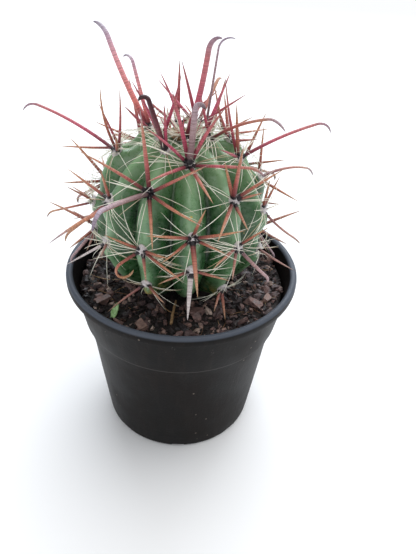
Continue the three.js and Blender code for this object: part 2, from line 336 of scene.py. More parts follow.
def height(material):
    coords = addNode(material, "ShaderNodeTexCoord")
    split = addNode(material, "ShaderNodeSeparateXYZ")
    feed(material, split.inputs[0], coords.outputs["Object"])
    return split.outputs[2]


def feedRoughness(material, shader, factor, stops):
    # stops are (place, roughness) from low to high
    greys = [(place, (value, value, value)) for place, value in stops]
    feed(material, shader.inputs["Roughness"], ramp(material, factor, greys))


def bump(material, shader, relief, distance, strength=1.0):
    node = addNode(material, "ShaderNodeBump", Distance=distance, Strength=strength)
    feed(material, node.inputs["Height"], relief)
    feed(material, shader.inputs["Normal"], node.outputs["Normal"])


# camera

view = {
    "place": (0.0, -0.2639, 0.2956),
    "aim": (0.0157, -0.0053, 0.1078),
    "roll": 3.65,
    "lens": 33.8,
}


def makeCamera():
    bpy.ops.object.camera_add(location=view["place"])
    camera = bpy.context.object
    direction = Vector(view["aim"]) - Vector(view["place"])
    turn = direction.to_track_quat("-Z", "Y").to_matrix().to_4x4()
    roll = Matrix.Rotation(math.radians(view["roll"]), 4, "Z")
    camera.matrix_world = Matrix.Translation(view["place"]) @ turn @ roll
    camera.data.lens = view["lens"]
    camera.data.sensor_width = 36
    camera.data.clip_start = 0.01
    bpy.context.scene.camera = camera
    print("camera set")


# studio

studio = {
    "floorSize": 8.0,
    "floorColour": (0.92, 0.92, 0.92),
    "skyColour": (0.93, 0.96, 1.0),
    "skyStrength": 0.5,
    "lampAim": (0, 0, 0.12),
    "sunTurn": (-18, 20),  # tilt in degrees about x and y
    "sunSpread": 80,
    "sunStrength": 2.1,
    "front": ((-0.7, -1.1, 0.9), (0.9, 0.9), 4, (1.0, 1.0, 1.0)),
    "back": ((0.1, 1.15, 0.95), (1.6, 0.7), 13, (0.84, 0.91, 1.0)),
}


def makeFloor():
    deselectAll()
    bpy.ops.mesh.primitive_plane_add(size=studio["floorSize"])
    floor = bpy.context.object
    floor.name = "floor"
    material, shader = newMaterial("paleFloor", 0.9)
    shader.inputs["Base Color"].default_value = (*studio["floorColour"], 1)
    shader.inputs["Specular IOR Level"].default_value = 0.1
    clothe(floor, material)


def addSoftbox(name):
    place, size, power, colour = studio[name]
    bpy.ops.object.light_add(type="AREA", location=place)
    lamp = bpy.context.object
    lamp.name = name
    direction = Vector(studio["lampAim"]) - Vector(place)
    lamp.rotation_euler = direction.to_track_quat("-Z", "Y").to_euler()
    lamp.data.shape = "RECTANGLE"
    lamp.data.size = size[0]
    lamp.data.size_y = size[1]
    lamp.data.energy = power
    lamp.data.color = colour


def makeLights():
    world = bpy.data.worlds.new("studioSky")
    bpy.context.scene.world = world
    world.use_nodes = True
    sky = world.node_tree.nodes["Background"]
    sky.inputs["Color"].default_value = (*studio["skyColour"], 1)
    sky.inputs["Strength"].default_value = studio["skyStrength"]
    bpy.context.scene.view_settings.view_transform = "Standard"
    bpy.ops.object.light_add(type="SUN", rotation=[math.radians(angle) for angle in (*studio["sunTurn"], 0)])
    sun = bpy.context.object
    sun.name = "overhead"
    sun.data.energy = studio["sunStrength"]
    sun.data.angle = math.radians(studio["sunSpread"])
    for name in ("front", "back"):
        addSoftbox(name)
    print("studio set")


# pot

pot = {
    "sides": 144,
    "base": 1.8 * mm,
    "foot": 47.4 * mm,
    "rollRadius": 2.1 * mm,
    "drainHoles": 8,
    "drainRadius": 4.2 * mm,
    "drainCircle": 33 * mm,
    "notches": 8,
    "notchSize": (51 * mm, 8 * mm, 4.8 * mm),
    "notchReach": 4.5 * mm,
    "black": (0.0025, 0.0020, 0.0021),
    "brown": (0.0105, 0.0068, 0.0056),
    "dust": (0.16, 0.13, 0.11),
    # painted reflection: a light blue-grey laid on the rim top for the sky's sheen on it
    "paintedRimSheen": (0.075, 0.086, 0.108),
    "ringColour": (0.06, 0.055, 0.052),
}


def makePot(material):
    low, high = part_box("nursery_pot")
    rim = 0.5 * (high.x - low.x)
    top = high.z
    foot = pot["foot"]
    outside = [
        (foot, 0),
        (foot + 1.3 * mm, 0.4 * mm),
        (foot + 2.2 * mm, 1.6 * mm),
        (foot + 2.5 * mm, 3 * mm),
        (51 * mm, 12 * mm),
        (54.2 * mm, 40 * mm),
        (57.3 * mm, 68 * mm),
        (60.6 * mm, 81.3 * mm),
        (61.2 * mm, 81.7 * mm),
        (61.4 * mm, 82.3 * mm),
        (63.7 * mm, 95 * mm),
        (66.2 * mm, 108.4 * mm),
        (67.2 * mm, 109.1 * mm),
        (rim - 0.9 * mm, 109.1 * mm),
        (rim - 0.2 * mm, 109.6 * mm),
        (rim, 110.4 * mm),
    ]
    rolled = []
    roll = pot["rollRadius"]
    for step in range(9):
        angle = math.radians(step * 22.5)
        rolled.append((rim - roll + roll * math.cos(angle), top - roll + roll * math.sin(angle)))
    inside = [
        (rim - 4.7 * mm, top - 4 * mm),
        (64.4 * mm, 107 * mm),
        (62.0 * mm, 95 * mm),
        (59.6 * mm, 82 * mm),
        (55.7 * mm, 68 * mm),
        (49.4 * mm, 12 * mm),
        (47.8 * mm, 3 * mm),
        (46.0 * mm, pot["base"]),
    ]
    shell = turnRings(pot["sides"], outside + rolled + inside)
    for index in range(pot["drainHoles"]):
        angle = (index + 0.5) * 2 * math.pi / pot["drainHoles"]
        place = (pot["drainCircle"] * math.cos(angle), pot["drainCircle"] * math.sin(angle), 0)
        bpy.ops.mesh.primitive_cylinder_add(
            vertices=24, radius=pot["drainRadius"], depth=8 * mm, location=place
        )
        cutAway(shell, bpy.context.object)
    for index in range(pot["notches"]):
        angle = index * 2 * math.pi / pot["notches"]
        reach = foot - pot["notchReach"] + 0.5 * pot["notchSize"][0]
        bpy.ops.mesh.primitive_cube_add(
            size=1,
            location=(reach * math.cos(angle), reach * math.sin(angle), 0),
            rotation=(0, 0, angle),
            scale=pot["notchSize"],
        )
        cutAway(shell, bpy.context.object)
    applyModifier(shell, "BEVEL", width=0.25 * mm, segments=1, limit_method="ANGLE",
                  angle_limit=math.radians(50))
    clothe(shell, material)
    smooth(shell, 35)
    finishPiece(shell, "pot", "pot_plastic", "nursery_pot")
    print("pot turned")


def makePotMaterial():
    material, shader = newMaterial("blackPlastic", 0.5)
    coords = objectCoords(material)
    streaky = objectCoords(material, (1, 1, 0.09))
    level = height(material)
    streak = window(material, noise(material, streaky, 190, 4), 0.46, 0.68)
    cloud = window(material, noise(material, coords, 26, 4), 0.38, 0.66)
    colour = mix(material, times(material, streak, 0.45), pot["black"], pot["brown"])
    colour = mix(material, times(material, cloud, 0.5), colour, pot["brown"])
    specks = speckle(material, coords, 170, 0.13, 55, 0.53, 0.6)
    colour = mix(material, times(material, specks, 0.75), colour, pot["dust"])
    scuffPlace = between(material, level, (0.096, 0.101), (0.111, 0.1085))
    scratches = noise(material, objectCoords(material, (1, 1, 0.5)), 150, 5, 0.7)
    scuffs = times(material, window(material, scratches, 0.63, 0.72), scuffPlace)
    colour = mix(material, times(material, scuffs, 0.7), colour, (0.32, 0.29, 0.27))
    footEdge = window(material, level, 0.0026, 0.0008)
    colour = mix(material, times(material, footEdge, 0.5), colour, (0.09, 0.095, 0.1))
    # painted reflection: the top face of the rim is painted light blue-grey for the sky's sheen on it, and
    # its roughness is lowered there
    rimTop = window(material, level, 0.1128, 0.1142)
    colour = mix(material, rimTop, colour, pot["paintedRimSheen"])
    ringLine = between(material, level, (0.0812, 0.0817), (0.0828, 0.0823))
    colour = mix(material, times(material, ringLine, 0.5), colour, pot["ringColour"])
    grit = window(material, noise(material, coords, 420, 4, 0.7), 0.6, 0.72)
    rimGrit = times(material, grit, window(material, level, 0.104, 0.11))
    colour = mix(material, times(material, rimGrit, 0.25), colour, (0.14, 0.1, 0.08))
    feed(material, shader.inputs["Base Color"], colour)
    rough = maths(material, "ADD", times(material, cloud, 0.12), 0.46)
    rough = maths(material, "SUBTRACT", rough, times(material, rimTop, 0.14))
    feed(material, shader.inputs["Roughness"], rough)
    shader.inputs["Specular IOR Level"].default_value = 0.13
    relief = maths(material, "ADD", times(material, streak, 0.5), noise(material, coords, 700, 3))
    bump(material, shader, relief, 0.00012, 0.6)
    return material


# potting mix

mixBed = {
    "sides": 132,
    "topRings": 26,
    "level": 103 * mm,
    "edge": 61.4 * mm,
    "chips": 1050,
    "crumbs": 1500,
    "straws": 130,
    "chipLengths": (1.6, 2.0, 2.4, 2.9, 3.6, 5.0),  # in mm
    "chipTilt": 0.48,
    "clearOfPlant": 24 * mm,
    "twigStrip": (-5.6 * mm, -49 * mm, -25 * mm),  # its x, then from y to y
    "flakeSpot": (-38 * mm, -36 * mm),
    "castHeight": 0.13,  # where rays down onto the mix start
    "outerRadius": 61.5 * mm,
    "seed": 11,
}


def makeSoil(material):
    low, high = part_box("potting_mix")
    level = mixBed["level"]
    edge = mixBed["edge"]
    rings = [
        (45 * mm, low.z),
        (48 * mm, 12 * mm),
        (54.4 * mm, 68 * mm),
        (58.3 * mm, 82 * mm),
        (edge, 98 * mm),
        (62.4 * mm, level - 1.5 * mm),
        (edge, level),
    ]
    for ring in range(1, mixBed["topRings"]):
        rings.append((edge * (1 - ring / mixBed["topRings"]) + 0.5 * mm, level))
    soil = turnRings(mixBed["sides"], rings)
    topGroup = soil.vertex_groups.new(name="top")
    topGroup.add([v.index for v in soil.data.vertices if v.co.z > level - 2 * mm], 1.0, "REPLACE")
    roughen(soil, "mixHeaps", 0.014, 3.2 * mm, 0.55, direction="Z", vertex_group="top")
    roughen(soil, "mixLumps", 0.0035, 2.2 * mm, direction="Z", vertex_group="top")
    clothe(soil, material)
    smooth(soil)
    finishPiece(soil, "mix_bed", "potting_mix", "potting_mix")
    print("potting mix filled")
    return soil


def makeChipShapes(material, count, blocky):
    # blocky ones start as a cube and the others as a coarse ball
    shapes = []
    for index in range(count):
        deselectAll()
        if blocky:
            bpy.ops.mesh.primitive_cube_add(size=1)
        else:
            bpy.ops.mesh.primitive_ico_sphere_add(subdivisions=1, radius=0.55)
        shape = bpy.context.object
        shape.name = "chipShape"
        editAll(shape)
        if blocky:
            bpy.ops.mesh.subdivide(number_cuts=1, smoothness=0.35)
        bpy.ops.transform.vertex_random(offset=0.25, uniform=1.0, normal=0.0, seed=index + 3)
        deselectAll()
        clothe(shape, material)
        shapes.append(shape)
    return shapes


def surfaceOf(thing):
    return BVHTree.FromPolygons(
        [vertex.co for vertex in thing.data.vertices], [tuple(face.vertices) for face in thing.data.polygons]
    )


def scatterPlace(surface, rng, clear):
    # a point on the mix between the plant's skirt and the wall, clear of the twig and the flake
    plantAxis = Vector((plant["centre"].x, plant["centre"].y))
    twigAcross, twigFrom, twigTo = mixBed["twigStrip"]
    while True:
        angle = rng.uniform(0, 2 * math.pi)
        reach = mixBed["outerRadius"] * math.sqrt(rng.uniform(0.08, 1))
        spot = Vector((reach * math.cos(angle), reach * math.sin(angle)))
        if (spot - plantAxis).length < mixBed["clearOfPlant"] + clear:
            continue
        if abs(spot.x - twigAcross) < clear + 2 * mm and twigFrom < spot.y < twigTo:
            continue
        if (spot - Vector(mixBed["flakeSpot"])).length < clear + 5 * mm:
            continue
        place = surface.ray_cast(Vector((spot.x, spot.y, mixBed["castHeight"])), straightDown)[0]
        if place:
            return place


def scatterMulch(soil, chipMaterial, crumbMaterial, strawMaterial):
    rng = random.Random(mixBed["seed"])
    surface = surfaceOf(soil)
    chipShapes = makeChipShapes(chipMaterial, 8, True)
    crumbShapes = makeChipShapes(crumbMaterial, 6, False)
    chips = []
    for index in range(mixBed["chips"]):
        length = rng.choice(mixBed["chipLengths"]) * rng.uniform(0.8, 1.15)
        width = length * rng.uniform(0.35, 0.75)
        thick = length * rng.uniform(0.26, 0.5)
        place = scatterPlace(surface, rng, 0.45 * length * mm)
        spread = mixBed["chipTilt"]
        tilt = Matrix.Rotation(rng.gauss(0, spread), 4, "X") @ Matrix.Rotation(rng.gauss(0, spread), 4, "Y")
        turn = Matrix.Rotation(rng.uniform(0, 2 * math.pi), 4, "Z") @ tilt
        matrix = Matrix.Translation(place + Vector((0, 0, 0.34 * thick * mm))) @ turn
        matrix = matrix @ Matrix.Diagonal((length * mm, width * mm, thick * mm, 1))
        tone = rng.random() ** 1.05
        chips.append(copyOf(rng.choice(chipShapes), matrix, tone=tone))
    mulch = joinAll(chips)
    finishPiece(mulch, "bark_mulch", "bark")

    crumbs = []
    for index in range(mixBed["crumbs"]):
        size = rng.uniform(0.7, 2.3)
        place = scatterPlace(surface, rng, 0.5 * mm)
        turn = Matrix.Rotation(rng.uniform(0, 6.28), 4, "Z") @ Matrix.Rotation(rng.uniform(0, 6.28), 4, "X")
        matrix = Matrix.Translation(place + Vector((0, 0, rng.uniform(0.2, 1.1) * mm))) @ turn
        matrix = matrix @ Matrix.Diagonal((size * mm, size * rng.uniform(0.6, 1) * mm, 0.7 * size * mm, 1))
        crumbs.append(copyOf(rng.choice(crumbShapes), matrix, tone=rng.random()))
    finishPiece(joinAll(crumbs), "peat_crumbs", "potting_mix")

    strawShapes = []
    for bend in (4, 9, 16, 24):
        steps = [(0, 0, 0.8)] + [(0.2, bend, size) for size in (1, 1, 0.95, 0.85, 0.4)]
        strawShapes.append(growTube("strawShape", 4, 0.05, 0.6, steps))
    straws = []
    for index in range(mixBed["straws"]):
        length = rng.uniform(5, 17)
        place = scatterPlace(surface, rng, 0.35 * length * mm)
        heading = rng.uniform(0, 2 * math.pi)
        along = Vector((math.cos(heading), math.sin(heading), rng.uniform(-0.05, 0.22)))
        bend = Vector((-math.sin(heading), math.cos(heading), rng.uniform(-0.8, 0.2)))
        root = place - along * 0.4 * length * mm + Vector((0, 0, rng.uniform(0.7, 1.8) * mm))
        reach = (root + along * length * mm).xy.length
        if reach > mixBed["outerRadius"] or root.xy.length > mixBed["outerRadius"]:
            continue
        shape = rng.choice(strawShapes)
        clothe(shape, strawMaterial)
        matrix = aimMatrix(root, along, bend) @ Matrix.Scale(length * mm, 4)
        straws.append(copyOf(shape, matrix, tone=rng.random()))
    finishPiece(joinAll(straws), "straw_bits", "dry_wood")
    clearAway(chipShapes + crumbShapes + strawShapes)
    print("mulch scattered")


def makePeatMaterial():
    material, shader = newMaterial("peat", 0.75)
    coords = objectCoords(material)
    tone = valueOf(material, "tone")
    grain = noise(material, coords, 420, 6, 0.65)
    colour = ramp(material, grain, [
        (0.3, (0.004, 0.003, 0.003)),
        (0.55, (0.014, 0.009, 0.008)),
        (0.72, (0.045, 0.022, 0.017)),
    ])
    brown = ramp(material, grain, [(0.3, (0.018, 0.009, 0.007)), (0.7, (0.09, 0.042, 0.026))])
    colour = mix(material, window(material, tone, 0.72, 0.95), colour, brown)
    feed(material, shader.inputs["Base Color"], colour)
    feedRoughness(material, shader, grain, [(0.35, 0.42), (0.6, 0.9)])
    bump(material, shader, noise(material, coords, 900, 4, 0.65), 0.0007, 0.9)
    return material


def makeBarkMaterial():
    material, shader = newMaterial("bark", 0.6)
    coords = objectCoords(material)
    tone = valueOf(material, "tone")
    base = ramp(material, tone, [
        (0.0, (0.014, 0.011, 0.013)),
        (0.35, (0.034, 0.024, 0.026)),
        (0.55, (0.085, 0.055, 0.056)),
        (0.74, (0.16, 0.098, 0.09)),
        (0.88, (0.25, 0.165, 0.14)),
        (1.0, (0.46, 0.38, 0.33)),
    ])
    grain = noise(material, objectCoords(material, (1, 1, 1.6)), 380, 6, 0.65)
    shade = ramp(material, grain, [(0.3, (0.35, 0.33, 0.33)), (0.7, (1.5, 1.4, 1.35))])
    feed(material, shader.inputs["Base Color"], mix(material, 1.0, base, shade, "MULTIPLY"))
    feedRoughness(material, shader, grain, [(0.35, 0.26), (0.65, 0.8)])
    bump(material, shader, grain, 0.0006, 0.8)
    return material


def makeStrawMaterial():
    material, shader = newMaterial("dryStraw", 0.7)
    tone = valueOf(material, "tone")
    base = ramp(material, tone, [
        (0.0, (0.05, 0.025, 0.016)),
        (0.4, (0.17, 0.085, 0.045)),
        (0.75, (0.42, 0.27, 0.13)),
        (1.0, (0.6, 0.5, 0.36)),
    ])
    grain = noise(material, objectCoords(material), 650, 4)
    shade = ramp(material, grain, [(0.3, (0.6, 0.55, 0.5)), (0.7, (1.2, 1.2, 1.2))])
    feed(material, shader.inputs["Base Color"], mix(material, 1.0, base, shade, "MULTIPLY"))
    bump(material, shader, grain, 0.0002, 0.6)
    return material


# plant body

plant = {
    "ribs": 12,
    "ribTurn": 7,
    "radius": 49 * mm,
    "halfHeight": 47.5 * mm,
    "squareness": 0.9,
    "grooveDepth": 0.28,
    "ribRoundness": 1.3,
    "flatSide": 107,
    "flatSpread": 30,
    "flatDepth": 0.055,
    "lowestLatitude": -76,
    "columnsPerRib": 20,
    "rings": 130,
    "chinHeight": 2.2 * mm,
    "chinSpread": 6.5 * mm,
    "notchDepth": 1.9 * mm,
    "upperSink": 2.0 * mm,
    "crownSink": 3.4 * mm,
    # latitudes of the areoles up each rib
    "areoles": [
        [-8, 11, 57, 80],
        [-38, 1, 30],
        [-13, 13, 52, 74],
        [-14, 22, 60, 78],
        [-6, 20, 55],
        [-28, 4, 36, 70],
        [-12, 14, 54],
        [-30, 0, 33],
        [-14, 8, 38, 69],
        [-9, 7, 47],
        [-4, 22, 75],
        [-26, 1, 36, 66],
    ],
}
crownLow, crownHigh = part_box("crown_wool")
plant["centre"] = Vector((
    0.5 * (crownLow.x + crownHigh.x),
    0.5 * (crownLow.y + crownHigh.y),
    crownLow.z - 0.4 * mm - plant["halfHeight"],
))


def signedPower(value, power):
    return math.copysign(abs(value) ** power, value)


def crestAt(latitude):
    angle = math.radians(latitude)
    radius = plant["radius"] * signedPower(math.cos(angle), plant["squareness"])
    return radius, plant["centre"].z + plant["halfHeight"] * signedPower(math.sin(angle), plant["squareness"])


def girth(azimuth):
    # the body grew a little flat on one side
    return 1 - plant["flatDepth"] * math.exp(-((azimuth - plant["flatSide"]) / plant["flatSpread"]) ** 2)


def areoleFrame(rib, latitude):
    # x points right, y up the rib and z straight out of the skin
    turn = plant["ribTurn"] + rib * 360 / plant["ribs"]
    azimuth = math.radians(turn)
    angle = math.radians(latitude)
    radius, level = crestAt(latitude)
    radius *= girth(turn)
    outward = Vector((math.sin(azimuth), -math.cos(azimuth), 0))
    rise = signedPower(math.sin(angle), 2 - plant["squareness"]) / plant["halfHeight"]
    reach = signedPower(math.cos(angle), 2 - plant["squareness"]) / plant["radius"]
    slope = math.atan2(rise, reach)
    out = outward * math.cos(slope) + Vector((0, 0, math.sin(slope)))
    up = outward * -math.sin(slope) + Vector((0, 0, math.cos(slope)))
    right = up.cross(out)
    centre = Vector((plant["centre"].x, plant["centre"].y, 0)) + outward * radius
    centre.z = level
    return Matrix.Translation(centre) @ Matrix((right, up, out)).transposed().to_4x4()


def makeBody(material):
    deselectAll()
    bpy.ops.mesh.primitive_uv_sphere_add(
        segments=plant["ribs"] * plant["columnsPerRib"], ring_count=plant["rings"], radius=1
    )
    body = bpy.context.object
    areoles = []
    for rib, latitudes in enumerate(plant["areoles"]):
        for latitude in latitudes:
            areole = areoleFrame(rib, latitude)
            areoles.append((rib, latitude, areole.translation, areole.col[2].to_3d(), areole.col[1].to_3d()))
    crests, corks = [], []
    for vertex in body.data.vertices:
        latitude = math.degrees(math.asin(max(-1, min(1, vertex.co.z))))
        azimuth = math.degrees(math.atan2(vertex.co.x, -vertex.co.y))
        turns = ((azimuth - plant["ribTurn"]) / 360 * plant["ribs"]) % plant["ribs"]
        nearestRib = round(turns) % plant["ribs"]
        downFlank = 2 * abs(turns - round(turns))
        radius, level = crestAt(max(plant["lowestLatitude"], min(88, latitude)))
        fade = min(1, radius / (0.45 * plant["radius"]))
        radius *= girth(azimuth)
        # the crest is slightly rounded and the groove closes to a narrow fold
        fall = (math.sqrt(downFlank * downFlank + 0.012) - 0.11) / 0.896
        fall = 0.9 * fall ** plant["ribRoundness"] + 0.1 * max(0, (downFlank - 0.86) / 0.14) ** 1.5
        profile = 1 - fade * plant["grooveDepth"] * max(0, fall)
        if latitude < plant["lowestLatitude"]:
            radius *= (latitude + 90) / (90 + plant["lowestLatitude"])
        flat = Vector((vertex.co.x, vertex.co.y, 0))
        if flat.length > 1e-6:
            flat.normalize()
        place = Vector((plant["centre"].x, plant["centre"].y, 0)) + flat * radius * profile
        place.z = level - plant["crownSink"] * max(0, (latitude - 66) / 24) ** 1.5
        cork = 0
        upper = min(1, max(0, (latitude - 15) / 40))
        nearAreole = 0
        outward = Vector((place.x - plant["centre"].x, place.y, level - plant["centre"].z)).normalized()
        for rib, areoleLatitude, spot, out, up in areoles:
            if rib != nearestRib:
                continue
            offset = place - spot
            away = offset.length / plant["chinSpread"]
            if away > 3.2:
                continue
            nearAreole = max(nearAreole, math.exp(-((0.8 * away) ** 2)))
            climb = offset.dot(up) / plant["chinSpread"]
            # the rib swells under each areole and dips just above it
            chin = math.exp(-((climb + 0.75) ** 2) / 0.9) * math.exp(-(downFlank * 2.2) ** 2)
            dip = math.exp(-((climb - 1.15) ** 2) / 0.6) * math.exp(-(downFlank * 2.2) ** 2)
            small = 0.45 if areoleLatitude > 60 else 1.6 if areoleLatitude < -20 else 1
            place += out * (small * plant["chinHeight"] * chin - plant["notchDepth"] * dip)
            seat = math.exp(-(away * 1.6) ** 2)
            place -= out * 0.7 * mm * seat * small
            if areoleLatitude < -20:
                cork = max(cork, math.exp(-((climb + 0.9) ** 2) / 0.5) * math.exp(-(downFlank * 1.6) ** 2))
        vertex.co = place - outward * plant["upperSink"] * upper * (1 - nearAreole)
        crests.append(1 - min(1, downFlank))
        corks.append(cork)
    setValue(body, "crest", crests)
    setValue(body, "cork", corks)
    roughen(body, "skinSwell", 0.016, 1.1 * mm)
    roughen(body, "skinRipple", 0.004, 0.28 * mm)
    clothe(body, material)
    smooth(body)
    finishPiece(body, "plant_body", "plant_skin", "cactus_body")
    print("body shaped")


def makeSkinMaterial():
    material, shader = newMaterial("plantSkin", 0.4)
    coords = objectCoords(material)
    crest = valueOf(material, "crest")
    level = height(material)
    blotch = noise(material, coords, 85, 5)
    fine = noise(material, coords, 420, 4)
    # crests painted paler and flanks darker: partly the skin's own paler crest, partly a painted highlight on
    # the crests and painted shade on the flanks
    flankGreenAndShade = ramp(material, blotch, [(0.32, (0.012, 0.056, 0.016)), (0.68, (0.036, 0.125, 0.034))])
    ridgeGreenAndHighlight = ramp(material, blotch, [(0.3, (0.11, 0.24, 0.115)), (0.7, (0.25, 0.41, 0.22))])
    colour = mix(material, window(material, crest, 0.5, 0.98), flankGreenAndShade, ridgeGreenAndHighlight)
    # painted shade: the narrow fold at the bottom of each groove is darkened where shade falls between the
    # ribs
    foldShade = window(material, crest, 0.26, 0.02)
    colour = mix(material, times(material, foldShade, 0.85), colour, (0.006, 0.022, 0.008))
    # painted highlight: the top of the body is painted a paler yellow-green where the light falls on it
    upper = times(material, window(material, level, 0.165, 0.196), 0.55)
    colour = mix(material, upper, colour, (0.23, 0.39, 0.18))
    veil = times(material, window(material, fine, 0.45, 0.75), 0.22)
    colour = mix(material, veil, colour, (0.26, 0.36, 0.25))
    corkPlace = valueOf(material, "cork")
    cork = times(material, corkPlace, window(material, noise(material, coords, 230, 4), 0.4, 0.56))
    colour = mix(material, times(material, cork, 0.85, True), colour, (0.42, 0.29, 0.08))
    specks = speckle(material, coords, 95, 0.11, 40, 0.56, 0.62)
    colour = mix(material, specks, colour, (0.62, 0.42, 0.05))
    feed(material, shader.inputs["Base Color"], colour)
    feedRoughness(material, shader, fine, [(0.35, 0.24), (0.7, 0.42)])
    shader.inputs["Specular IOR Level"].default_value = 0.6
    relief = maths(material, "ADD", times(material, fine, 0.6), noise(material, coords, 130, 3))
    bump(material, shader, relief, 0.0005, 0.5)
    return material


# spines

# The spines that give the plant its outline, by rib and latitude. Each is clock, lift,
# length, width, bow, hook and age: clock turns from up the rib, lift rises out of the
# skin, bow bends the whole spine down and hook its last part. Age is 0 for a young red
# spine, 0.5 for an orange one, 1 for a grey one and 1.5 for a bleached one, and -0.5 and
# 2 are a maroon spine and a rose one.
grownSpines = {
    (0, 57): [
        (7, 61, 34, 4.4, 0, 150, 0.98),
        (-60, 40, 27, 2.2, 15, 0, 0.08),
        (-15, 40, 34, 2.6, 5, 0, 0.12),
        (35, 45, 31, 2.6, 20, 0, 0.15),
        (-130, 30, 31, 2.2, 5, 0, 0.2),
        (120, 35, 41, 2.2, 5, 50, 0.22),
        (170, 30, 37, 2.2, 0, 0, 0.38),
    ],
    (0, 80): [(138, 72, 59, 3.6, -18, 83, 0.1), (-40, 65, 34, 2.2, 15, 0, 0.05)],
    (8, 69): [
        (-151, 64, 63, 3.8, -19, 68, 2.0),
        (-97, 84, 42, 2.6, 0, 115, 2.0),
        (85, 40, 26, 2.4, -5, 0, 0.1),
    ],
    (11, 66): [(-50, 70, 32, 4, 0, 149, -0.5), (0, 70, 24, 2, 10, 0, 0.0)],
    (9, 47): [
        (-117, 57, 64, 2.4, 24, 59, 0.15),
        (6, 73, 36, 2, -31, 0, 0.5),
        (0, 40, 32, 2, -10, 0, 0.2),
        (60, 30, 22, 2.2, 0, 0, 0.35),
    ],
    (8, 38): [(180, 40, 42, 2, -5, 0, 0.5), (20, 55, 26, 2, 0, 0, 0.2)],
    (11, 36): [
        (-68, 41, 37, 2.2, 9, 0, 0.36),
        (5, 50, 46, 2.4, 5, 0, 0.28),
        (65, 30, 40, 2.2, 0, 0, 0.34),
        (110, 25, 42, 2, -10, 0, 0.5),
        (150, 25, 32, 2, 0, 0, 0.5),
        (174, 73, 56, 2.8, 7, 83, 1.05),
        (-133, 43, 53, 3, 26, 0, 0.45),
    ],
    (10, 22): [(-68, 39, 25, 2, 0, 0, 0.55), (25, 40, 23, 2, -5, 0, 0.45), (180, 45, 30, 2, 0, 60, 0.6)],
    (9, 7): [(-135, 45, 41, 2, 0, 39, 0.5), (40, 40, 22, 1.8, 0, 0, 0.6)],
    (2, 52): [
        (118, 56, 54, 2.4, 21, 82, 0.16),
        (-14, 38, 40, 2.2, -10, 0, 0.2),
        (-25, 50, 31, 2.2, 0, 0, 0.4),
        (-65, 20, 24, 2, 5, 0, 0.1),
    ],
    (2, 74): [(-133, 47, 65, 2.2, 20, 47, 0.35), (0, 60, 26, 2, 0, 0, 0.1)],
    (4, 55): [(-175, 30, 32, 2, 0, 0, 0.5), (40, 50, 26, 2, 0, 0, 0.4)],
    (3, 60): [(-30, 35, 24, 2, 0, 0, 0.2), (60, 40, 26, 2, 0, 0, 0.3), (-100, 30, 24, 2, 0, 0, 0.25)],
    (3, 22): [(40, 25, 29, 1.8, 0, 0, 0.5), (111, 51, 59, 2.2, 32, 33, 0.65), (-120, 35, 26, 2, 0, 0, 0.5)],
    (1, 30): [
        (65, 40, 27, 2.2, 5, 0, 0.5),
        (-30, 35, 26, 2.2, 0, 0, 0.45),
        (-25, 50, 40, 2.4, 0, 0, 0.36),
        (-115, 30, 33, 2, 5, 0, 0.5),
        (-165, 35, 17, 2, 0, 0, 0.55),
        (90, 40, 14, 1.8, 0, 0, 0.55),
    ],
    (0, 11): [
        (10, 35, 24, 2, 5, 0, 0.5),
        (-65, 40, 32, 2.2, 0, 0, 0.5),
        (65, 40, 30, 2.2, -5, 0, 0.5),
        (-115, 35, 20, 1.8, -5, 0, 0.52),
        (105, 35, 17, 1.8, 0, 0, 0.52),
        (180, 50, 29, 2.8, 5, 0, 0.55),
    ],
    (11, 1): [
        (-45, 40, 22, 2, -5, 0, 0.5),
        (70, 30, 24, 1.8, -5, 0, 0.5),
        (90, 30, 32, 1.8, -5, 0, 0.55),
        (145, 40, 15, 1.8, 0, 0, 0.6),
        (-120, 45, 30, 2, 30, 200, 0.48),
    ],
    (1, 1): [
        (150, 40, 26, 2.4, -10, 130, 0.85),
        (-80, 25, 28, 1.8, 5, 0, 0.62),
        (-120, 40, 19, 1.8, 0, 0, 0.65),
        (20, 40, 22, 1.8, 0, 0, 0.55),
    ],
    (0, -8): [(-170, 45, 24, 3, 5, 0, 1.4), (-80, 35, 20, 1.8, 0, 0, 0.62), (80, 35, 20, 1.8, 0, 0, 0.62)],
    (11, -26): [(-120, 35, 29, 1.8, 10, 0, 0.68), (60, 35, 26, 1.8, -15, 0, 0.65)],
    (1, -38): [(-120, 70, 18, 2, 0, 0, 0.62), (-80, 40, 16, 1.8, 0, 0, 0.65)],
    (10, -4): [(-135, 40, 28, 2, 0, 0, 1.4), (70, 35, 22, 1.8, 0, 0, 0.7)],
    (2, -13): [(135, 45, 32, 2, -5, 0, 0.75), (-60, 35, 20, 1.8, 0, 0, 0.7)],
    (2, 13): [(-25, 20, 23, 1.8, 0, 0, 0.5), (-10, 30, 23, 1.8, 0, 0, 0.55), (160, 25, 31, 2, -20, 20, 0.7)],
    (10, 75): [(50, 60, 35, 2.4, -10, 0, 0.0), (180, 80, 35, 2.2, 10, 0, 0.05)],
    (3, 78): [(-16, 86, 52, 2, 0, 104, 0.95), (120, 55, 34, 2.4, 0, 0, 0.1)],
}

spine = {
    "sides": 8,
    "sideways": 1.7 * mm,  # how far the stout spines stand from the middle of their areole
    "rise": 0.3 * mm,
    "collar": 1.32,
    "collarLength": 3.0 * mm,
    "bristles": (13, 18),
    "bristleWidth": 0.42 * mm,
    "bristleLength": (16, 30),
    "bristleCurls": (10, 20, 30, 40, 55),
    "bristleTaper": (1.0, 0.95, 0.88, 0.78, 0.64, 0.45, 0.12),
    "hairs": 34,
    "hairCurls": (20, 60, 100),
    "hairTaper": (0.9, 0.65, 0.15),
    "lowestTip": 105.5 * mm,
}


def vary(seed, index):
    wave = math.sin(seed * 12.9898 + index * 78.233) * 43758.5453
    return wave - math.floor(wave)


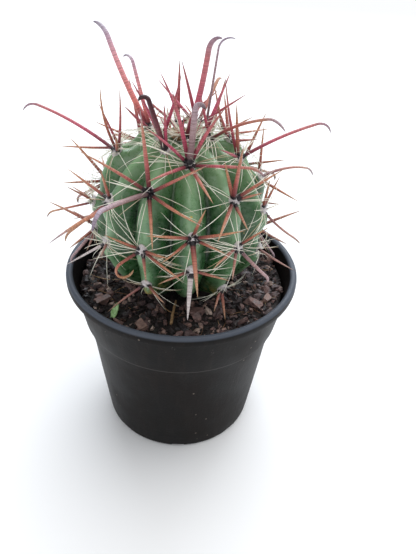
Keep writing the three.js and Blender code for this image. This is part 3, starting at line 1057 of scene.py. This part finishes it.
def usualSpines(seed, latitude):
    # four stout spines in a cross and two thin ones below
    age = min(1, max(0, (70 - latitude) / 110))
    long = 40 - 16 * age
    tone = 0.05 + 0.75 * age
    down = (180, 60, 0.8 * long, 2.2, -10, 0, tone + 0.25)
    if latitude >= -20:
        down = (170 + 20 * vary(seed, 2), 48, long, 2.6, 0, 70, tone + 0.3)
    spines = [
        (10 - 20 * vary(seed, 1), 50, long, 2.4, 5, 0, tone),
        down,
        (75 + 15 * vary(seed, 3), 38, 0.8 * long, 2.2, 0, 0, tone + 0.05),
        (-75 - 15 * vary(seed, 4), 38, 0.8 * long, 2.2, 0, 0, tone + 0.1),
    ]
    if latitude <= 62:
        for clock in (130, -130):
            spines.append((clock, 30, 0.5 * long, 1.8, 0, 0, tone + 0.15))
    return spines


def growSpine(length, width, bow, hook):
    # a dark swollen collar, a shaft that keeps its width, and a point or a hook
    hookShare = 0 if not hook else 0.6 if hook > 150 else 0.2
    hookRings = 0 if not hook else 16 if hook > 150 else 10
    shaftRings = 9
    steps = [
        (0, 0, 0.95),
        (0.5 * mm, 0, spine["collar"]),
        (0.7 * mm, 0, spine["collar"]),
        (0.8 * mm, 0, 1.12),
        (1.0 * mm, 0, 1),
    ]
    done = spine["collarLength"]
    shaftEnd = length * (1 - hookShare)
    for ring in range(shaftRings):
        advance = (shaftEnd - spine["collarLength"]) / shaftRings
        done += advance
        steps.append((advance, bow * advance / length, spineSize(done / length, hook)))
    for ring in range(hookRings):
        advance = length * hookShare / hookRings
        done += advance
        steps.append((advance, bow * advance / length + hook / hookRings, spineSize(done / length, hook)))
    return growTube("spineShape", spine["sides"], width, 0.72 if hook else 0.8, steps)


def spineSize(share, hook):
    share = min(share, 0.999)
    if hook:
        return max(0.05, (1 - 0.22 * share) * (1 - share ** 18) ** 0.7)
    return max(0.05, (1 - 0.18 * share) * (1 - share ** 2.4) ** 0.75)


def makeCurls(name, material, tube, curls, taper, advance):
    # thin curled shapes about as long as 1; tube is sides, width and flatness
    shapes = []
    for curl in curls:
        steps = [(0, 0, 1.0)] + [(advance, curl / len(taper), size) for size in taper]
        shape = growTube(name, *tube, steps)
        clothe(shape, material)
        shapes.append(shape)
    return shapes


def makeFeltShape(material):
    deselectAll()
    bpy.ops.mesh.primitive_ico_sphere_add(subdivisions=3, radius=1)
    felt = bpy.context.object
    felt.name = "feltShape"
    editAll(felt)
    bpy.ops.transform.resize(value=(3.1 * mm, 3.6 * mm, 1.5 * mm))
    deselectAll()
    roughen(felt, "feltLumps", 0.0016, 0.9 * mm)
    clothe(felt, material)
    setValue(felt, "share", 0.0)
    smooth(felt)
    return felt


def directions(clock, lift):
    # across the skin and along the spine, in the areole's own frame
    clockAngle, liftAngle = math.radians(clock), math.radians(lift)
    across = Vector((math.sin(clockAngle), math.cos(clockAngle), 0))
    return across, across * math.cos(liftAngle) + Vector((0, 0, math.sin(liftAngle)))


def makeBristle(rng, shapes, areole, clock, lift, length):
    turn = areole.to_3x3()
    across, along = directions(clock, lift)
    along = turn @ along
    root = areole @ (across * rng.uniform(1.6, 3.0) * mm + Vector((0, 0, 0.6 * mm)))
    tipDrop = root.z - (root + along * length).z
    if root.z - tipDrop < spine["lowestTip"]:
        length *= (root.z - spine["lowestTip"]) / tipDrop
        if length < 5 * mm:
            return None
    inward = turn @ Vector((rng.uniform(-0.5, 0.5), rng.uniform(-0.5, 0.3), -1))
    thick = spine["bristleWidth"] * rng.uniform(0.75, 1.15)
    shape = rng.choice(shapes)
    # a bristle's ring is narrowed to its thickness while its path keeps its length
    mesh = shape.data.copy()
    for vertex, distance in zip(mesh.vertices, pathPoints[shape.name]):
        vertex.co = distance * length + (vertex.co - distance) * thick
    mesh.transform(aimMatrix(root, along, inward))
    bristle = bpy.data.objects.new("bristle", mesh)
    bpy.context.scene.collection.objects.link(bristle)
    setValue(bristle, "tone", rng.random())
    return bristle


pathPoints = {}


def notePath(shape):
    # the middle of the ring that each vertex belongs to, for shapes that are thinned later
    rings = {}
    distances = [item.value for item in shape.data.attributes["distance"].data]
    for vertex, distance in zip(shape.data.vertices, distances):
        rings.setdefault(round(distance, 3), []).append(vertex.co.copy())
    middles = {key: sum(points, Vector()) / len(points) for key, points in rings.items()}
    pathPoints[shape.name] = [middles[round(distance, 3)] for distance in distances]


def makeAreoles(horn, bristleMaterial, woolMaterial):
    library = {}
    # a bristle starts as wide as it is long, and makeBristle thins it
    bristleShapes = makeCurls(
        "bristleShape", bristleMaterial, (5, 1, 0.8), spine["bristleCurls"], spine["bristleTaper"], 1 / 7
    )
    for shape in bristleShapes:
        notePath(shape)
    hairShapes = makeCurls(
        "hairShape", woolMaterial, (3, 0.12, 1), spine["hairCurls"], spine["hairTaper"], 0.33
    )
    felt = makeFeltShape(woolMaterial)
    for rib, latitudes in enumerate(plant["areoles"]):
        for level, latitude in enumerate(latitudes):
            rng = random.Random(rib * 31 + level)
            areole = areoleFrame(rib, latitude)
            turn = areole.to_3x3()
            small = 0.8 if latitude > 60 else 1
            parts = [copyOf(felt, areole @ Matrix.Scale(small, 4), tone=rng.uniform(0, 0.66))]
            spines = grownSpines.get((rib, latitude)) or usualSpines(rib * 7 + level, latitude)
            for clock, lift, length, width, bow, hook, age in spines:
                across, along = directions(clock, lift)
                sideways = across * spine["sideways"] * math.cos(math.radians(lift))
                root = areole @ (sideways + Vector((0, 0, spine["rise"])))
                key = (round(length), round(width, 1), bow, hook)
                if key not in library:
                    library[key] = growSpine(length * mm, width * mm, bow, hook)
                    clothe(library[key], horn)
                matrix = aimMatrix(root, turn @ along, straightDown)
                parts.append(copyOf(library[key], matrix, tone=age + rng.uniform(-0.04, 0.04)))
            low = latitude < -5
            for index in range(round(rng.randint(*spine["bristles"]) * (0.65 if low else 1))):
                side = 1 if index % 2 else -1
                clock = side * (rng.gauss(88, 22) if rng.random() < 0.7 else rng.uniform(20, 175))
                length = rng.uniform(*spine["bristleLength"]) * mm * (0.68 if low else 1)
                bristle = makeBristle(rng, bristleShapes, areole, clock, rng.uniform(8, 30), length)
                if bristle:
                    parts.append(bristle)
            for index in range(spine["hairs"]):
                clockAngle = rng.uniform(0, 2 * math.pi)
                reach = 3.0 * mm * math.sqrt(rng.random()) * small
                across = Vector((math.sin(clockAngle), math.cos(clockAngle), 0))
                root = areole @ (across * reach + Vector((0, 0, 0.7 * mm)))
                along = turn @ (across * rng.uniform(0.1, 1.1) + Vector((0, 0, 1)))
                bend = turn @ Vector((rng.uniform(-1, 1), rng.uniform(-1, 1), -0.4))
                size = rng.uniform(1.4, 2.9) * mm * small
                hairMatrix = aimMatrix(root, along, bend) @ Matrix.Scale(size, 4)
                parts.append(copyOf(rng.choice(hairShapes), hairMatrix, tone=rng.uniform(0, 0.66)))
            number = f"{rib + 1:02d}_{level + 1}"
            finishPiece(joinAll(parts), "areole_" + number, "spines", "spines_rib" + number)
    print("areoles grown with", len(library), "spine shapes")
    makeCrown(felt, hairShapes, bristleShapes, library)
    clearAway([*library.values(), *bristleShapes, *hairShapes, felt])


crown = {
    "hairs": 300,
    "radius": 8 * mm,
    "sink": 3.0 * mm,
    "youngSpines": 12,
    "bristles": 40,
}


def makeCrown(felt, hairShapes, bristleShapes, library):
    # tan wool with the youngest spines just coming through
    rng = random.Random(5)
    top = Matrix.Translation(Vector((plant["centre"].x, plant["centre"].y, crownLow.z - crown["sink"])))
    parts = [copyOf(felt, top @ Matrix.Diagonal((2.3, 2.0, 1.5, 1)), tone=0.9)]
    young = next(shape for key, shape in library.items() if key[1] <= 2.2 and not key[3])
    for index in range(crown["youngSpines"]):
        angle = index * 2 * math.pi / crown["youngSpines"] + rng.uniform(-0.2, 0.2)
        across = Vector((math.cos(angle), math.sin(angle), 0))
        root = top @ (across * rng.uniform(4, 8) * mm)
        along = across * rng.uniform(0.3, 1.0) + Vector((0, 0, 1))
        size = rng.uniform(0.38, 0.62)
        matrix = aimMatrix(root, along, straightDown) @ Matrix.Scale(size, 4)
        parts.append(copyOf(young, matrix, tone=rng.uniform(-0.2, 0.15)))
    for index in range(crown["bristles"]):
        angle = rng.uniform(0, 360)
        bristle = makeBristle(rng, bristleShapes, top @ Matrix.Rotation(math.radians(angle), 4, "Z"), 0,
                              rng.uniform(15, 55), rng.uniform(12, 24) * mm)
        parts.append(bristle)
    for index in range(crown["hairs"]):
        angle = rng.uniform(0, 2 * math.pi)
        reach = crown["radius"] * math.sqrt(rng.random())
        across = Vector((math.cos(angle), math.sin(angle), 0))
        root = top @ (across * reach + Vector((0, 0, 1.6 * mm * (1 - (reach / crown["radius"]) ** 2))))
        along = across * rng.uniform(0, 1.2) + Vector((0, 0, 1))
        bend = Vector((rng.uniform(-1, 1), rng.uniform(-1, 1), -0.3))
        size = rng.uniform(1.2, 2.6) * mm
        matrix = aimMatrix(root, along, bend) @ Matrix.Scale(size, 4)
        parts.append(copyOf(rng.choice(hairShapes), matrix, tone=rng.uniform(0.7, 1.3)))
    finishPiece(joinAll(parts), "crown_tuft", "crown_wool", "crown_wool")
    print("crown tufted")


def makeHornMaterial():
    material, shader = newMaterial("spineHorn", 0.38)
    share = valueOf(material, "share")
    distance = valueOf(material, "distance")
    age = valueOf(material, "tone")
    young = ramp(material, share, [
        (0.0, (0.03, 0.004, 0.01)),
        (0.12, (0.20, 0.014, 0.042)),
        (0.35, (0.55, 0.085, 0.16)),
        (0.7, (0.54, 0.15, 0.185)),
        (0.9, (0.36, 0.09, 0.09)),
        (1.0, (0.12, 0.03, 0.03)),
    ])
    orange = ramp(material, share, [
        (0.0, (0.04, 0.008, 0.01)),
        (0.12, (0.18, 0.04, 0.038)),
        (0.4, (0.45, 0.15, 0.095)),
        (0.75, (0.54, 0.27, 0.15)),
        (1.0, (0.44, 0.28, 0.15)),
    ])
    grey = ramp(material, share, [
        (0.0, (0.035, 0.02, 0.022)),
        (0.15, (0.22, 0.13, 0.14)),
        (0.5, (0.40, 0.27, 0.28)),
        (0.85, (0.44, 0.33, 0.38)),
        (1.0, (0.06, 0.035, 0.035)),
    ])
    rose = ramp(material, share, [
        (0.0, (0.05, 0.006, 0.012)),
        (0.1, (0.30, 0.05, 0.06)),
        (0.25, (0.74, 0.22, 0.19)),
        (0.6, (0.80, 0.35, 0.38)),
        (0.8, (0.60, 0.38, 0.48)),
        (0.9, (0.62, 0.58, 0.64)),
        (0.97, (0.07, 0.03, 0.03)),
    ])
    maroon = ramp(material, share, [
        (0.0, (0.012, 0.004, 0.006)),
        (0.35, (0.20, 0.06, 0.075)),
        (0.6, (0.09, 0.012, 0.022)),
        (1.0, (0.03, 0.008, 0.010)),
    ])
    colour = mix(material, window(material, age, 0.0, 0.5), young, orange)
    colour = mix(material, window(material, age, 0.5, 0.95), colour, grey)
    colour = mix(material, window(material, age, 1.0, 1.4), colour, (0.62, 0.56, 0.55))
    colour = mix(material, window(material, age, -0.2, -0.45), colour, maroon)
    colour = mix(material, window(material, age, 1.7, 2.0), colour, rose)
    towardsTip = window(material, share, 0.72, 0.9)
    violet = times(material, towardsTip, window(material, distance, 34, 42))
    colour = mix(material, times(material, violet, 0.6), colour, (0.36, 0.30, 0.40))
    bands = lineNoise(material, distance, 1.3, 3)
    shade = ramp(material, bands, [(0.35, (0.62, 0.55, 0.56)), (0.6, (1.12, 1.12, 1.1))])
    colour = mix(material, 0.75, colour, shade, "MULTIPLY")
    blotches = noise(material, objectCoords(material), 500, 4)
    mottle = ramp(material, blotches, [(0.3, (0.75, 0.72, 0.7)), (0.7, (1.2, 1.2, 1.2))])
    colour = mix(material, 0.6, colour, mottle, "MULTIPLY")
    collarDark = window(material, distance, 3.6, 2.2)
    colour = mix(material, collarDark, colour, (0.010, 0.007, 0.010))
    feed(material, shader.inputs["Base Color"], colour)
    shader.inputs["Specular IOR Level"].default_value = 0.45
    pits = noise(material, objectCoords(material), 1400, 2)
    relief = maths(material, "ADD", bands, times(material, pits, 0.4))
    bump(material, shader, relief, 0.00025, 0.7)
    return material


def makeBristleMaterial():
    material, shader = newMaterial("ivoryBristle", 0.5)
    share = valueOf(material, "share")
    tone = valueOf(material, "tone")
    pale = ramp(material, share, [
        (0.0, (0.42, 0.36, 0.3)),
        (0.1, (0.84, 0.81, 0.66)),
        (0.7, (0.93, 0.92, 0.8)),
        (1.0, (0.78, 0.7, 0.54)),
    ])
    tan = ramp(material, share, [
        (0.0, (0.25, 0.16, 0.1)),
        (0.5, (0.66, 0.52, 0.33)),
        (1.0, (0.5, 0.36, 0.22)),
    ])
    colour = mix(material, window(material, tone, 0.82, 0.97), pale, tan)
    blotches = noise(material, objectCoords(material), 450, 3)
    mottle = ramp(material, blotches, [(0.3, (0.8, 0.8, 0.78)), (0.7, (1.1, 1.1, 1.1))])
    feed(material, shader.inputs["Base Color"], mix(material, 0.7, colour, mottle, "MULTIPLY"))
    return material


def makeWoolMaterial():
    material, shader = newMaterial("areoleWool", 0.95)
    tone = valueOf(material, "tone")
    share = valueOf(material, "share")
    tuft = ramp(material, share, [
        (0.0, (0.7, 0.66, 0.67)),
        (0.3, (0.82, 0.8, 0.8)),
        (1.0, (0.93, 0.92, 0.91)),
    ])
    tan = ramp(material, share, [
        (0.0, (0.35, 0.2, 0.1)),
        (0.4, (0.62, 0.42, 0.22)),
        (1.0, (0.78, 0.62, 0.4)),
    ])
    colour = mix(material, window(material, tone, 0.68, 0.72), tuft, tan)
    fibres = noise(material, objectCoords(material), 900, 5, 0.7)
    grain = ramp(material, fibres, [(0.3, (0.55, 0.5, 0.48)), (0.7, (1.15, 1.15, 1.15))])
    feed(material, shader.inputs["Base Color"], mix(material, 1.0, colour, grain, "MULTIPLY"))
    shader.inputs["Sheen Weight"].default_value = 0.3
    shader.inputs["Sheen Roughness"].default_value = 0.5
    bump(material, shader, noise(material, objectCoords(material), 1500, 4), 0.0004, 0.8)
    return material


# loose things on the mix

loose = {
    # length, width, thickness in mm, turn in degrees and how pale
    "bark_chip_1": (9, 6, 2.6, 20, 0.72),
    "bark_chip_2": (9, 6.5, 3, -35, 0.76),
    "bark_chip_3": (6, 4.5, 2.6, 60, 0.86),
    "bark_chip_4": (8, 4.5, 2.4, 40, 0.8),
    "bark_chip_5": (7, 4, 2.2, -60, 0.88),
    "bark_chip_6": (9, 6, 2.8, 15, 0.8),
    "bark_chip_7": (8, 5, 2.4, -50, 0.9),
    "twigWidth": 2.0 * mm,
    "scrapThickness": 0.8 * mm,
}


def makeLooseChips(material):
    for index in range(1, 8):
        node = f"bark_chip_{index}"
        length, width, thickness, turn, tone = loose[node]
        low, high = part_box(node)
        middle = 0.5 * (low + high)
        deselectAll()
        bpy.ops.mesh.primitive_cube_add(size=1)
        chip = bpy.context.object
        editAll(chip)
        bpy.ops.transform.vertex_random(offset=0.24, uniform=1.0, normal=0.0, seed=index)
        bpy.ops.mesh.subdivide(number_cuts=3, smoothness=0.1)
        bpy.ops.transform.vertex_random(offset=0.04, uniform=1.0, normal=0.0, seed=index)
        size = (0.95 * length * mm, 0.9 * width * mm, 0.9 * thickness * mm)
        bpy.ops.transform.resize(value=size, center_override=(0, 0, 0))
        deselectAll()
        roughen(chip, "chipRidges", 0.0022, 0.9 * mm)
        place = Matrix.Translation(middle) @ Matrix.Rotation(math.radians(turn), 4, "Z")
        chip.data.transform(place @ Matrix.Rotation(0.12, 4, "Y"))
        setValue(chip, "tone", tone)
        clothe(chip, material)
        smooth(chip, 30)
        finishPiece(chip, f"mulch_chip_{index}", "bark", node)
    print("loose chips cut")


def makeTwig(material):
    low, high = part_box("twig")
    length = high.y - low.y
    steps = [(0, 0, 0.8)]
    for ring in range(14):
        knot = 1.25 if ring in (4, 9) else 1.0
        bend = (5, -4, 3, -6, 4)[ring % 5]
        steps.append((length / 14, bend, knot * (1 - 0.025 * ring)))
    steps.append((0.3 * mm, 0, 0.5))
    twig = growTube("twigShape", 10, loose["twigWidth"], 0.85, steps)
    root = Vector((0.5 * (low.x + high.x), low.y, 0.5 * (low.z + high.z) - 0.1 * mm))
    twig.data.transform(aimMatrix(root, Vector((0.04, 1, 0.0)), Vector((1, 0, 0))))
    roughen(twig, "twigBark", 0.0012, 0.25 * mm)
    setValue(twig, "tone", 0.62)
    clothe(twig, material)
    finishPiece(twig, "dry_twig", "dry_wood", "twig")
    print("twig laid")


def makeScrap(material):
    low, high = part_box("green_scrap")
    middle = 0.5 * (low + high)
    length = high.y - low.y
    width = high.x - low.x
    deselectAll()
    bpy.ops.mesh.primitive_grid_add(x_subdivisions=12, y_subdivisions=24, size=1)
    scrap = bpy.context.object
    for vertex in scrap.data.vertices:
        # narrow at the lower end, broad near the upper, with rolled edges
        along = vertex.co.y + 0.5
        half = 0.12 + 0.88 * math.sin(math.pi * min(1, along ** 0.75)) ** 0.6
        across = vertex.co.x * 2
        vertex.co.x = 0.5 * across * half * width
        vertex.co.y = (along - 0.5) * length
        curl = 0.5 * mm * across * across + 0.7 * mm * math.sin(along * 3.1)
        vertex.co.z = curl + 0.15 * mm * math.sin(along * 17 + across * 3)
    applyModifier(scrap, "SOLIDIFY", thickness=loose["scrapThickness"], offset=0)
    applyModifier(scrap, "BEVEL", width=0.25 * mm, segments=2)
    place = Matrix.Translation(middle + Vector((0, 0, 0.2 * mm)))
    scrap.data.transform(place @ Matrix.Rotation(-0.1, 4, "Z"))
    clothe(scrap, material)
    smooth(scrap)
    finishPiece(scrap, "green_flake", "green_scrap", "green_scrap")
    print("flake laid")


def makeScrapMaterial():
    material, shader = newMaterial("greenFlake", 0.5)
    coords = objectCoords(material)
    veins = noise(material, coords, 260, 4)
    colour = ramp(material, veins, [(0.3, (0.20, 0.42, 0.12)), (0.65, (0.50, 0.72, 0.36))])
    dry = window(material, noise(material, coords, 500, 3), 0.62, 0.74)
    colour = mix(material, dry, colour, (0.6, 0.62, 0.4))
    feed(material, shader.inputs["Base Color"], colour)
    bump(material, shader, noise(material, coords, 600, 3), 0.0003, 0.6)
    return material


# build

makeCamera()
makeFloor()
makeLights()
makePot(makePotMaterial())
peat = makePeatMaterial()
barkFinish = makeBarkMaterial()
strawFinish = makeStrawMaterial()
soilPiece = makeSoil(peat)
scatterMulch(soilPiece, barkFinish, peat, strawFinish)
makeLooseChips(barkFinish)
makeTwig(strawFinish)
makeScrap(makeScrapMaterial())
makeBody(makeSkinMaterial())
makeAreoles(makeHornMaterial(), makeBristleMaterial(), makeWoolMaterial())
